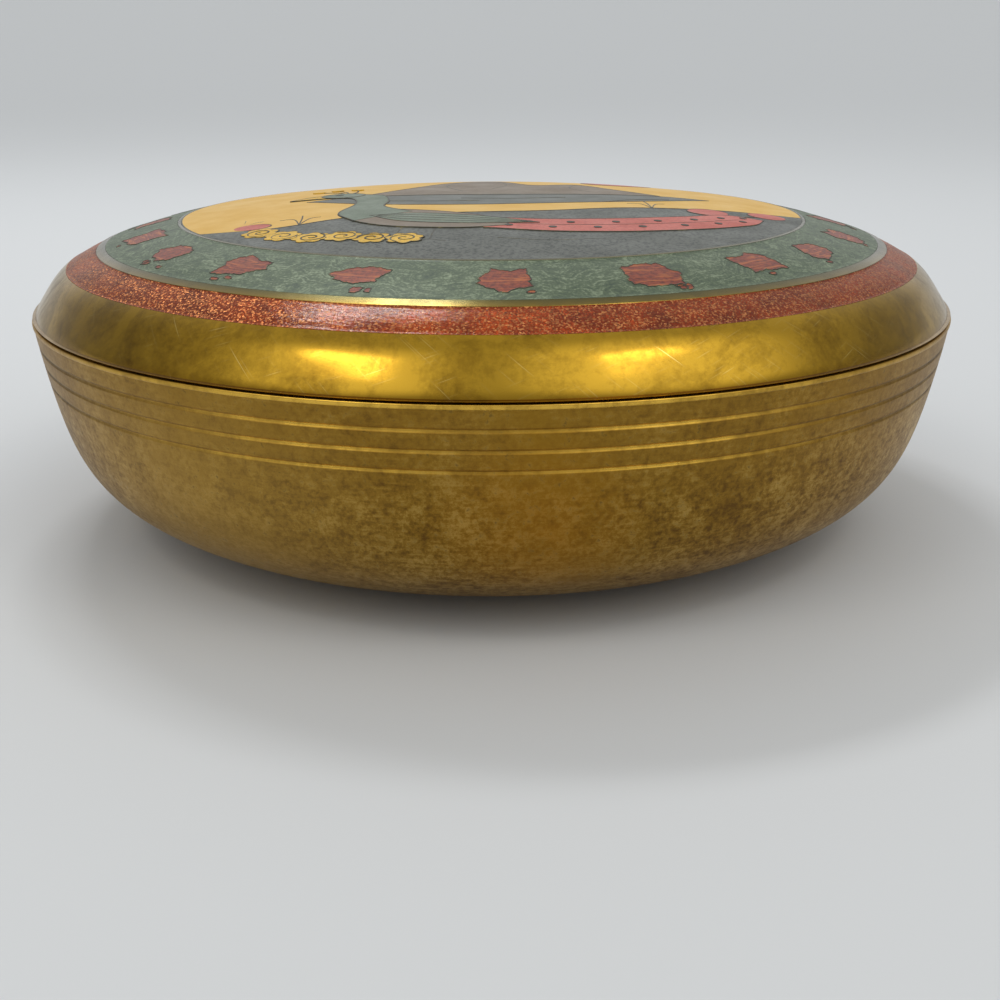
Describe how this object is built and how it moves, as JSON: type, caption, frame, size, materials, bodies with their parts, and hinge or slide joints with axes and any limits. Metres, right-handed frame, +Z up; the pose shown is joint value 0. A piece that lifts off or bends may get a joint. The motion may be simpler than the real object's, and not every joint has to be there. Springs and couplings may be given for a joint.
{
  "type": "trinket box",
  "caption": "Round, low trinket box of turned brass: a bowl-shaped base with turned lines and a flat-domed lift-off lid filled with coloured enamel.",
  "frame": {"origin": "middle of the flat foot, on the surface the box stands on", "axes": "+Z up along the axis the box was turned about; -Y towards the viewer of the picture, +X to the right"},
  "size_m": [0.1202, 0.1202, 0.0417],
  "materials": {
    "base_brass": "dull brass with mottled brown patina",
    "lid_brass": "polished brass with fine scratches and smudges",
    "enamel_red": "glossy copper-red enamel with fine glitter",
    "enamel_green": "glossy pearly grey-green swirled enamel with red-brown patches",
    "enamel_picture": "glossy enamel picture in grey-blue, yellow, mauve and coral"
  },
  "bodies": {
    "root": {"base": "base_brass", "lid": "lid_brass", "enamel_red_band": "enamel_red", "enamel_green_band": "enamel_green", "enamel_picture": "enamel_picture"}
  },
  "joints": []
}
